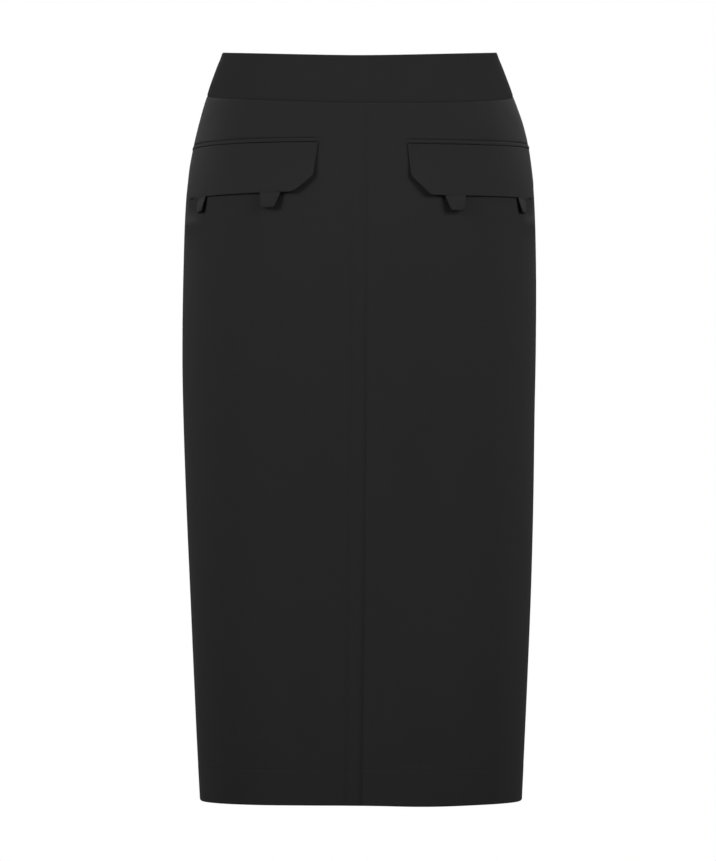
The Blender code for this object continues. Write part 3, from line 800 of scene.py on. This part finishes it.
def makeBand(name, face, shares, node):
    # shares run from -1 at the left side seam to 1 at the right
    row = bandRows()[:, None]
    share = shares[None, :]
    side = np.where(share < 0, -1, 1)
    low = edges["waistSeamZ"] + edgeDrop(edges["seamDip"], face, share) + edges["touch"]
    high = edges["topZ"] + edgeDrop(edges["topDip"], face, share)
    droop = np.where(side < 0, band["droop"]["left"], band["droop"]["right"])
    high = high - droop * hump(1 - np.abs(share), 0, 0.05)
    z = blend(low, high, row)
    left, right = (quarterLength(face, s, z) for s in (-1, 1))
    length = np.where(side < 0, left, right) - edges["touch"]
    gap = 0.0
    if face == "back":
        parting = smooth(z, band["notchZ"] - 0.003, band["notchZ"])
        gap = blend(edges["touch"], band["notchHalf"], parting)
    arc = side * blend(gap, length, np.abs(share))
    fromLow, fromHigh = (high - low) * row, (high - low) * (1 - row)
    lift = band["wave"] * np.sin(2 * math.pi * arc / 0.062 + 1.1 + 2 * math.pi * z / 0.3)
    lift = lift * smooth(fromLow, 0.001, 0.012) * smooth(fromHigh, 0.001, 0.010)
    lift = band["proud"] + (lift - band["topDent"] * hump(fromHigh, 0.006, 0.004))
    crown = rolled(fromHigh, band["thick"] / 2)
    onRight = smooth(share, -0.4, 0.4)
    depth, width = (blend(*ends, onRight) for ends in zip(band["seam"]["left"], band["seam"]["right"]))
    toEnd = length * (1 - np.abs(share))
    if face == "back":
        toEnd = np.minimum(toEnd, (length - gap) * np.abs(share))
    drop = np.maximum(depth * np.exp(-((fromLow / width) ** 1.3)), rolled(toEnd, band["endRoll"]))
    high, low = lift - np.maximum(drop, crown), lift - band["thick"] + crown
    return clothWall(name, node, skin(face, z, arc), high, low, (arc, z), bandCloth)


def bandShares(face):
    end = bandEnd / band["reach"]
    inside = np.linspace(end[-1], 1 - end[-1], 58)[1:-1]
    half = np.concatenate([end, inside, 1 - end[::-1]])
    if face == "back":
        return np.maximum(half, 1e-7)
    return np.concatenate([-half[::-1][: -len(end) + 1], half[len(end) - 1 :]])


backShares = bandShares("back")
bandFront = makeBand("waistband_cloth_front", "front", bandShares("front"), "waistband_front")
bandLeft = makeBand("waistband_cloth_back_left", "back", -backShares, "waistband_back_left")
bandRight = makeBand("waistband_cloth_back_right", "back", backShares, "waistband_back_right")
print("waistband made")


# Pocket welts, flaps and tabs

flap = {
    "cloth": 0.0012, "endCloth": 0.0007,  # pressed thin at the outer end
    # how far it stands off the panel at the top, at the bottom, and at the bottom's two ends
    "offTop": -0.0007, "offBottom": 0.0009, "offInner": 0.0060, "offOuter": -0.0004,
    "liftLength": 0.085, "hugLength": 0.030,
    "topCorner": (0.0008, 0.007),  # the inner upper corner stands a little higher
    "edgeRidge": 0.00010, "edgeWidth": 0.0065,  # the turned-in edges show through
    "belly": 0.0003,
}
tab = {
    "offset": 0.0400, "topWidth": 0.0200, "endWidth": 0.0128, "length": 0.0142, "cloth": 0.0011,
    "hidden": 0.0030,  # caught between the flap's two layers
    "hang": {"inner": 0.0020, "outer": -0.0005},  # how much further out the end hangs than the root
    "rise": 0.0024, "crown": 0.0004,
    # how far the outer side lies down on the panel, and how thin it is pressed there
    "lean": {"inner": 0.0, "outer": 1.0},
    "leanDrop": 0.0009, "leanThin": 0.55,
}
weltEnd = inMm(0, 0.15, 0.4, 0.8, 1.3, 2.0)
flapEnd = inMm(0, 0.1, 0.25, 0.45, 0.7, 1.1, 1.8, 3.0)
tabEnd = inMm(0, 0.1, 0.25, 0.42, 0.65, 0.95, 1.4)


def pocketWall(name, node, pocket, place, low, high):
    # a wall between two heights above the panel; place is along the pocket and below its line
    along, below = np.broadcast_arrays(*place)
    z = pocketLine(pocket, along) - below
    surface = skin("front", z, pocket["side"] * (pocket["middle"] + along))
    return clothWall(name, node, surface, high, low, (along, -below), pocketCloth)


def makeWelt(hand):
    pocket = pockets[hand]
    middle = np.linspace(0.004 - pocketHalf, pocketHalf - 0.004, 84)
    columns = np.concatenate([weltEnd - pocketHalf, middle, pocketHalf - weltEnd[::-1]])
    rows = welt["height"] / 2 * (1 - np.cos(np.linspace(0, math.pi, 21)))
    along, below = np.meshgrid(columns, rows)
    body = softRound(below, welt["upperRound"]) * softRound(welt["height"] - below, welt["lowerRound"])
    body = body * softRound(pocketHalf - np.abs(along), welt["endRound"])
    pull = welt["pull"] * np.sin(along * 2 * math.pi / 0.021 + 1.3 * pocket["side"])
    high = welt["off"] + welt["edge"] + (welt["thick"] - welt["edge"]) * body + pull
    low = welt["off"] + 0 * below
    return pocketWall(f"welt_cloth_{hand}", f"welt_{hand}", pocket, (along, below), low, high)


def flapBottom(pocket, along):
    # the lower edge with both corners cut off; the minimum is softened where the edges meet
    fromEnd = pocketHalf - np.abs(along)
    share = (fromEnd - pocket["slant"]) / (pocket["cornerWidth"] - pocket["slant"])
    height = flapHeight(pocket, along)
    cut = blend(pocket["cornerStart"], height, share)
    soft = pocket["soften"]
    gap = np.clip(0.5 + 0.5 * (height - cut) / soft, 0, 1)
    bottom = cut * gap + height * (1 - gap) - soft * gap * (1 - gap)
    return np.maximum(bottom, pocket["cornerStart"])


def flapOff(pocket, along, below):
    low = np.clip((below - welt["height"]) / (flapHeight(pocket, along) - welt["height"]), 0, 1)
    inner = np.maximum(0, 1 - (along + pocketHalf) / flap["liftLength"])
    rise, reach = flap["topCorner"]
    top = flap["offTop"] + rise * np.maximum(0, 1 - (along + pocketHalf) / reach)
    outer = np.maximum(0, 1 - (pocketHalf - along) / flap["hugLength"])
    bottom = blend(flap["offBottom"], flap["offInner"], inner**2)
    bottom = bottom + (flap["offOuter"] - flap["offBottom"]) * outer
    return blend(top, bottom, low ** (1 + inner))


def makeFlap(hand):
    pocket = pockets[hand]
    top = welt["height"] + welt["gap"]
    ends = flapEnd / pocketHalf
    unit = np.concatenate([ends - 1, np.linspace(-0.955, 0.955, 104), 1 - ends[::-1]])[None, :]
    low = 1 - np.array([0.10, 0.07, 0.048, 0.033, 0.022, 0.014, 0.008, 0.0035, 0.0])
    high = np.array([0, 0.003, 0.008, 0.014, 0.022, 0.035])
    part = np.concatenate([high, np.linspace(0.035, 0.90, 22)[1:-1], low])[:, None]
    half = pocketHalf - pocket["slant"] * part
    along = unit * half
    bottom = flapBottom(pocket, unit * (pocketHalf - pocket["slant"]))
    below = blend(top, bottom, part)
    slope = np.gradient(flapBottom(pocket, along[-1]), along[-1])
    lowEdge = (bottom - below) / np.sqrt(1 + slope**2)[None, :]
    free = np.minimum(half * (1 - np.abs(unit)), lowEdge)
    ridge = flap["edgeRidge"] * (1 - smooth(free, flap["edgeWidth"] - 0.001, flap["edgeWidth"] + 0.001))
    wave = np.sin(math.pi * part) * np.sin(2 * math.pi * along / 0.19 + 0.8 * pocket["side"])
    off = flapOff(pocket, along, below) + flap["belly"] * wave
    thin = smooth(along, pocketHalf - flap["hugLength"], pocketHalf - 0.012)
    half = blend(flap["cloth"], flap["endCloth"], thin) / 2
    body = softRound(free, flap["cloth"] / 2) * softRound(below - top, 0.0003)
    low, high = off + half - half * body, off + ridge + half + half * body
    return pocketWall(f"flap_cloth_{hand}", f"flap_{hand}", pocket, (along, below), low, high)


def makeTab(hand, which):
    pocket = pockets[hand]
    middle = -tab["offset"] if which == "inner" else tab["offset"]
    height = float(flapHeight(pocket, middle))
    whole = tab["hidden"] + tab["length"]
    ends = tabEnd / 0.0064
    unit = np.concatenate([ends - 1, np.linspace(-0.74, 0.74, 15), 1 - ends[::-1]])[None, :]
    part = np.concatenate([np.linspace(0, 0.90, 20), 1 - tabEnd[::-1] / whole])[:, None]
    below = height - tab["hidden"] + whole * part + 0 * unit
    taper = np.clip((below - height) / tab["length"], 0, 1)
    half = blend(tab["topWidth"], tab["endWidth"], taper) / 2
    along = middle + unit * half + tab["hang"][which] * taper
    below = below - 0.0006 * (np.abs(unit) ** 6) * smooth(part, 0.8, 1)  # rounded corners
    edge = np.minimum(half * (1 - np.abs(unit)), whole * (1 - part))
    body = softRound(edge, tab["cloth"] / 2)
    root = flapOff(pocket, np.array(middle), np.array(height)) + 0.00015
    lean = tab["lean"][which] * smooth(unit, -0.7, 0.9) * smooth(taper, -0.1, 0.3)
    off = root + tab["rise"] * smooth(taper, -0.2, 1.0) * (1 - lean) - tab["leanDrop"] * lean
    off = off + tab["crown"] * (1 - unit**2) * smooth(taper, 0.05, 0.4)
    thick = tab["cloth"] / 2 * (1 - tab["leanThin"] * lean)
    low, high = off + thick - thick * body, off + thick + thick * body
    name, node = f"tab_cloth_{which}_{hand}", f"tab_{which}_{hand}"
    return pocketWall(name, node, pocket, (along, below), low, high)


welts = {hand: makeWelt(hand) for hand in pockets}
flaps = {hand: makeFlap(hand) for hand in pockets}
tabs = {(hand, which): makeTab(hand, which) for hand in pockets for which in ("inner", "outer")}
print("pockets made")


# Hem stitching

stitch = {
    "length": 0.0022, "pitch": 0.0029, "radius": 0.00017, "sunk": 0.00010, "side": 0.001, "dive": 0.0002,
}


def makeStitches(face, side):
    start, end = (float(place) for place in panelEnds(face, side, np.array(stitchZ)))
    width = abs(end - start)
    room = width - 2 * stitch["side"]
    count = int(room / stitch["pitch"])
    begin = start + side * (stitch["side"] + (room - count * stitch["pitch"]) / 2)
    steps = np.linspace(0, 1, 7)
    middle = begin + side * stitch["pitch"] * (np.arange(count)[:, None] + 0.5)
    arc = middle + side * (steps - 0.5) * stitch["length"]
    z = np.full(arc.shape, stitchZ)
    g = SimpleNamespace(z=z, rowZ=z, arc=arc, fromCentre=np.abs(arc - start), fromSide=np.abs(end - arc))
    g.share = g.fromCentre / width
    points, normals = skin(face, z, arc)
    if face == "front":
        points[..., 2] -= sagAt(panel["hemDepth"], arc)
    arch = -stitch["sunk"] + stitch["radius"] * 0.9 * np.sin(math.pi * steps)
    arch -= stitch["dive"] * (steps * 2 - 1) ** 4
    paths = raised(points, normals, panelLift(face, side, g) + arch)
    mesh = meshFrom(f"hem_stitches_{face}_{handOf(side)}", *tubes(paths, stitch["radius"], 6, 0.6))
    return addPiece(mesh, threads)


stitches = {key: makeStitches(*key) for key in panels}
print("hem sewn")


# Concealed zip in the middle of the back

tape = {
    "topZ": 0.0130, "endZ": -0.2000, "edge": 0.0010, "width": 0.0120, "thick": 0.0007, "ripple": 0.00012,
    "bead": 0.00022,  # the thicker edge that holds the coil
    "depth": 0.0012, "step": 0.0050,  # how soon it comes forward below the waistband
}
tapeAcross = inMm(0, 0.1, 0.3, 0.6, *np.linspace(1.4, 10.6, 8), 11.4, 11.7, 11.9, 12)


def tapeDepth(z):
    seam = edges["waistSeamZ"] - edges["seamDip"]["back"][0]
    share = np.clip((seam - z) / tape["step"], 0, 1)
    return 0.0003 + band["thick"] + (tape["depth"] - band["thick"]) * share


def makeTape(side):
    z = np.linspace(tape["topZ"], tape["endZ"], 90)[:, None]
    arc = side * (tape["edge"] + tapeAcross[None, :]) + 0 * z
    z = z + 0 * arc
    ripple = tape["ripple"] * np.sin(2 * math.pi * z / 0.013 + side) * smooth(tapeAcross, 0.004, 0.012)
    edge = np.minimum(tapeAcross, tape["width"] - tapeAcross)[None, :]
    half = tape["thick"] / 2
    body = half * softRound(edge, half) + tape["bead"] * hump(tapeAcross, 0.0016, 0.0006)
    depth = tapeDepth(z) + half + 0.0001 - ripple
    name, node = f"tape_knit_{handOf(side)}", f"zip_tape_{handOf(side)}"
    surface, high, low = skin("back", z, arc), body - depth, -(depth + body)
    clothWall(name, node, surface, high, low, (arc, z), tapeKnit)


coil = {
    "pitch": 0.00110, "radius": 0.00085, "flat": 0.62, "wire": 0.00023, "offset": 0.00048,
    "topZ": 0.0020, "behind": 0.0009, "short": 0.003, "stepsPerTurn": 8,
}


def makeCoil():
    # two springs of nylon wire that mesh with each other in the middle, on the inside
    turns = int((coil["topZ"] - tape["endZ"] - coil["short"]) / coil["pitch"])
    t = np.arange(turns * coil["stepsPerTurn"]) / coil["stepsPerTurn"]
    paths = []
    for side, start in ((-1, 0), (1, 0.5)):
        z = coil["topZ"] - (t + start) * coil["pitch"]
        points, normals = skin("back", z, 0 * z)
        depth = tapeDepth(z) + coil["behind"] + coil["flat"] * coil["radius"] * np.sin(2 * math.pi * t)
        path = raised(points, normals, -depth)
        path[:, 0] += side * (coil["offset"] + coil["radius"] * np.cos(2 * math.pi * t))
        paths.append(path)
    addPiece(meshFrom("zip_coil", *tubes(np.array(paths), coil["wire"], 5)), coilNylon)


for side in (-1, 1):
    makeTape(side)
makeCoil()
print("zip made")


# The slider and its pull tab, about the hinge's own place

hinge = frame["joints"][0]
slider = {
    "wide": 0.0080, "deep": 0.0022, "high": 0.0090, "bevel": 0.00035,
    "shoulder": (0.0012, 0.0016), "notch": (0.0011, 0.0013), "foot": (0.72, 0.60, 0.0006),
    "neck": (0.0012, 0.0050), "ringOuter": 0.0019, "ringInner": 0.0010, "loopBevel": 0.00020,
    "clear": 0.0003,  # from the ring to the cloth
    "behind": 0.0016,  # from the back of the waistband to the body
}
pull = {
    "length": 0.0220, "tipRadius": 0.0024, "topHalf": 0.0019, "thick": 0.0010, "bevel": 0.00018,
    "bar": 0.00045, "windowHalf": 0.00095, "windowEnd": 0.0023, "shoulder": 0.0006,
    "waist": (0.00145, -0.0065), "rimShare": 0.62, "rimWire": 0.00016,
}


def sliderMatrix():
    # +Y is out of the cloth, and the origin is the ring's middle
    z = hinge["pos_m"][2]
    _, normal = skin("back", np.array([z]), np.array([0.0]))
    lean = math.atan2(normal[0, 2], normal[0, 1])
    return Matrix.Translation(hinge["pos_m"]) @ Matrix.Rotation(lean, 4, "X")


def platePiece(name, outlines, thick, bevel, turn):
    # a flat outline with its edges rounded inside its own size, as a mesh
    curve = bpy.data.curves.new(name, "CURVE")
    curve.dimensions = "2D"
    curve.fill_mode = "BOTH"
    curve.extrude = thick / 2 - bevel
    curve.bevel_depth = bevel
    curve.bevel_resolution = 3
    curve.offset = -bevel
    for points in outlines:
        spline = curve.splines.new("POLY")
        spline.points.add(len(points) - 1)
        for point, (x, y) in zip(spline.points, points):
            point.co = (x, y, 0, 1)
        spline.use_cyclic_u = True
    holder = bpy.data.objects.new(name, curve)
    mesh = bpy.data.meshes.new_from_object(holder)
    mesh.name = name
    bpy.data.objects.remove(holder)
    bpy.data.curves.remove(curve)
    mesh.transform(sliderMatrix() @ turn)
    shape = bmesh.new()
    shape.from_mesh(mesh)
    bmesh.ops.remove_doubles(shape, verts=shape.verts, dist=1e-6)
    bmesh.ops.recalc_face_normals(shape, faces=shape.faces)
    shape.to_mesh(mesh)
    shape.free()
    mesh.shade_smooth()
    mesh.set_sharp_from_angle(angle=math.radians(35))
    return mesh


def roundOutline(centre, radius, start, end, steps):
    angles = [start + (end - start) * k / steps for k in range(steps + 1)]
    return [(centre[0] + radius * math.cos(a), centre[1] + radius * math.sin(a)) for a in angles]


def makePull():
    tip = -pull["length"] + pull["tipRadius"]
    top = pull["topHalf"]
    right = [(top, pull["bar"]), (top, -pull["windowEnd"] - pull["shoulder"]), pull["waist"]]
    left = [(-x, y) for x, y in right]
    shape = left[:1] + right + roundOutline((0, tip), pull["tipRadius"], 0, -math.pi, 22) + left[:0:-1]
    half, low = pull["windowHalf"], pull["windowEnd"]
    window = [(-half, -pull["bar"]), (-half, -low), (half, -low), (half, -pull["bar"])]
    turn = Matrix.Rotation(math.pi / 2, 4, "X")
    mesh = platePiece("pull_blade", [shape, window], pull["thick"], pull["bevel"], turn)
    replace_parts(addPiece(mesh, blackMetal, "pull_tab"), "zip_pull")
    rim = roundOutline((0, tip), pull["tipRadius"], 0, 2 * math.pi, 28)[:-1]
    rim = [(x * pull["rimShare"], 0, (y - tip) * pull["rimShare"] + tip) for x, y in rim]
    points, faces, uvs = tubes(np.array([rim + rim[:1]]), pull["rimWire"], 6)
    for face, out in (("front", 1), ("back", -1)):
        placed = points + np.array([0, out * (pull["thick"] / 2 - 0.00002), 0])
        ring = meshFrom(f"pull_rim_{face}", placed, faces, uvs)
        ring.transform(sliderMatrix())
        addPiece(ring, blackMetal, "pull_tab")


def makeSlider():
    bodyY = -slider["ringOuter"] - slider["clear"] - band["thick"] - slider["behind"] - slider["deep"] / 2
    wide, high = slider["wide"] / 2, slider["high"] / 2
    shoulder, notch, foot = slider["shoulder"], slider["notch"], slider["foot"]
    left = [(-wide, high - shoulder[1]), (-wide + shoulder[0], high), (-notch[0], high)]
    low = [(wide * foot[0], -high + foot[2]), (wide * foot[1], -high)]
    right, lowLeft = ([(-x, y) for x, y in points[::-1]] for points in (left, low))
    wedge = left + [(0, high - notch[1])] + right + low + lowLeft
    turn = Matrix.Translation((0, bodyY, 0)) @ Matrix.Rotation(math.pi / 2, 4, "X")
    mesh = platePiece("slider_body", [wedge], slider["deep"], slider["bevel"], turn)
    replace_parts(addPiece(mesh, blackMetal), "zip_slider")

    # the loop that holds the pull, and the neck that carries it through the seam
    neckEnd = -(slider["ringOuter"] + slider["ringInner"]) / 2
    thick, half = slider["neck"][0], slider["neck"][1] / 2
    loop = roundOutline((0, 0), slider["ringOuter"], -0.62 * math.pi, 0.62 * math.pi, 30)
    loop += [(neckEnd, half), (bodyY, half), (bodyY, -half), (neckEnd, -half)]
    hole = roundOutline((0, 0), slider["ringInner"], 0, 2 * math.pi, 24)[:-1]
    # the outline's X is the loop's +Y and its Y is the loop's +Z, and it is as thick as the neck
    turn = Matrix(((0, 0, 1, 0), (1, 0, 0, 0), (0, 1, 0, 0), (0, 0, 0, 1)))
    mesh = platePiece("slider_loop", [loop, hole], thick, slider["loopBevel"], turn)
    addPiece(mesh, blackMetal)


makeSlider()
makePull()
print("slider and pull made")


# What was cut: the flat size of each cloth piece that shows


def panelCut(face, side):
    z = np.linspace(edges["hemZ"], edges["waistSeamZ"], 200)
    start, end = panelEnds(face, side, z)
    widths = np.abs(end - start)
    drop = edges["seamDip"][face][0]
    length = edges["waistSeamZ"] - edges["hemZ"]
    # the curved seam takes about a third of its drop off the top
    return (float(widths.max()), float(length)), float(widths.mean() * (length - drop / 3))


for (face, side), piece in panels.items():
    size, area = panelCut(face, side)
    going, carrier = [stitches[face, side]], "waistband_cloth_front"
    if face == "front":
        going.append(welts[handOf(side)])
    else:
        carrier = f"waistband_cloth_back_{handOf(side)}"

bandHeight = edges["topZ"] - edges["waistSeamZ"]
shaped = 0.96  # the curved edges' share of the straight strip
for piece, face, halves in ((bandFront, "front", 2), (bandLeft, "back", 1), (bandRight, "back", 1)):
    levels = (edges["topZ"], edges["waistSeamZ"])
    widths = [sum(quarterLength(face, s, z) for s in (-1, 1)) / 2 * halves for z in levels]
    area = sum(widths) / 2 * bandHeight * shaped

for hand, piece in flaps.items():
    pocket = pockets[hand]
    height = pocket["height"] - welt["height"] - welt["gap"]
    cuts = pocket["cornerWidth"] * (pocket["height"] - pocket["cornerStart"])
    area = 2 * pocketHalf * height - cuts - pocket["slant"] * pocket["cornerStart"]
for (hand, which), piece in tabs.items():
    size = (tab["topWidth"], tab["hidden"] + tab["length"])
    area = tab["topWidth"] * tab["hidden"] + (tab["topWidth"] + tab["endWidth"]) / 2 * tab["length"]


# Studio

studio = {
    "cameraAt": (-0.0019, -5.0, -0.3409),
    "lens": 218.9,
    "sensor": 36.0,
    "paper": 1.0,  # the white that the camera sees behind the skirt, which lights nothing
    "fill": 0.155,  # the soft light from all round
    "floorZ": -1.10,
    "floorRadius": 3.9,
    "floorShades": (0.70, 0.75),
    "floorGlow": ((0.6, 0.42), (3.6, 0.80)),  # distance from the middle, and the light there
    # each pair of lamps: the right one's place and aim, their size, spread in degrees, and powers
    "lamps": {
        "lamp": ((2.45, -1.51, 0.91), (0, 0, -0.22), 1.5, 37, (5.6, 5.7)),
        "back": ((0.25, 2.30, 1.70), (0, 0, -0.28), 0.7, 50, (5.5, 5.5)),
        "hip": ((0.213, 0.05, 0.357), (0.20, 0, -0.20), 0.15, 25, (0.36, 0.33)),
    },
}
scene = bpy.context.scene


def makeCamera():
    camera = addObject("camera", bpy.data.cameras.new("camera"))
    camera.data.lens = studio["lens"]
    camera.data.sensor_width = studio["sensor"]
    camera.data.clip_end = 50
    camera.location = studio["cameraAt"]
    camera.rotation_euler = (math.pi / 2, 0, 0)
    scene.camera = camera


def makeLamp(name, place, target, size, spread, power):
    lamp = bpy.data.lights.new(name, "AREA")
    lamp.shape = "DISK"
    lamp.size = size
    lamp.spread = math.radians(spread)
    lamp.energy = power
    holder = addObject(name, lamp)
    holder.location = place
    holder.rotation_mode = "QUATERNION"
    holder.rotation_quaternion = (Vector(target) - Vector(place)).to_track_quat("-Z", "Y")
    return holder


def makeLights():
    # the waistband takes no light from the hip lamps
    offBand = bpy.data.collections.new("off_the_waistband")
    for piece in (bandFront, bandLeft, bandRight):
        offBand.objects.link(piece)
    for member in offBand.collection_objects:
        member.light_linking.link_state = "EXCLUDE"
    for name, (place, target, size, spread, powers) in studio["lamps"].items():
        for side, power in zip((-1, 1), powers):
            ends = ((side * x, y, z) for x, y, z in (place, target))
            holder = makeLamp(f"{name}_{handOf(side)}", *ends, size, spread, power)
            if name == "hip":
                holder.light_linking.receiver_collection = offBand

    scene.world = bpy.data.worlds.new("studio")
    board = Board(scene.world)
    seen = board.node("ShaderNodeLightPath", {}, {}, "Is Camera Ray")
    strength = blend(studio["fill"], studio["paper"], seen)
    sky = board.node("ShaderNodeBackground", {}, {"Color": (1, 1, 1, 1), "Strength": strength})
    board.node("ShaderNodeOutputWorld", {}, {"Surface": sky})
    scene.view_settings.view_transform = "Standard"


def makeFloor():
    shape = bmesh.new()
    bmesh.ops.create_circle(shape, cap_ends=True, segments=96, radius=studio["floorRadius"])
    mesh = bpy.data.meshes.new("floor")
    shape.to_mesh(mesh)
    shape.free()
    board = newBoard("floor_paper", (0.8, 0.8, 0.8))
    place = board.node("ShaderNodeTexCoord", {}, {}, "Object")
    dark, light = ((grey, grey, grey, 1) for grey in studio["floorShades"])
    colour = board.mixed(board.noise(place, 3.0, 3.0), dark, light)
    # the paper glows with painted light, more towards its edge, where it meets the white
    (near, dim), (far, bright) = studio["floorGlow"]
    away = board.node("ShaderNodeVectorMath", {"operation": "LENGTH"}, {0: place}, "Value")
    rise = board.node("ShaderNodeMapRange", {}, {"Value": away, "From Min": near, "From Max": far})
    glow = board.mixed(rise, (dim, dim, dim, 1), (bright, bright, bright, 1))
    mesh.materials.append(board.finish(colour, 0.9, None, {"Emission Color": glow, "Emission Strength": 1.0}))
    floor = addObject("floor", mesh)
    floor.location.z = studio["floorZ"]
    floor.visible_diffuse = False


makeCamera()
makeLights()
makeFloor()
print("studio made")
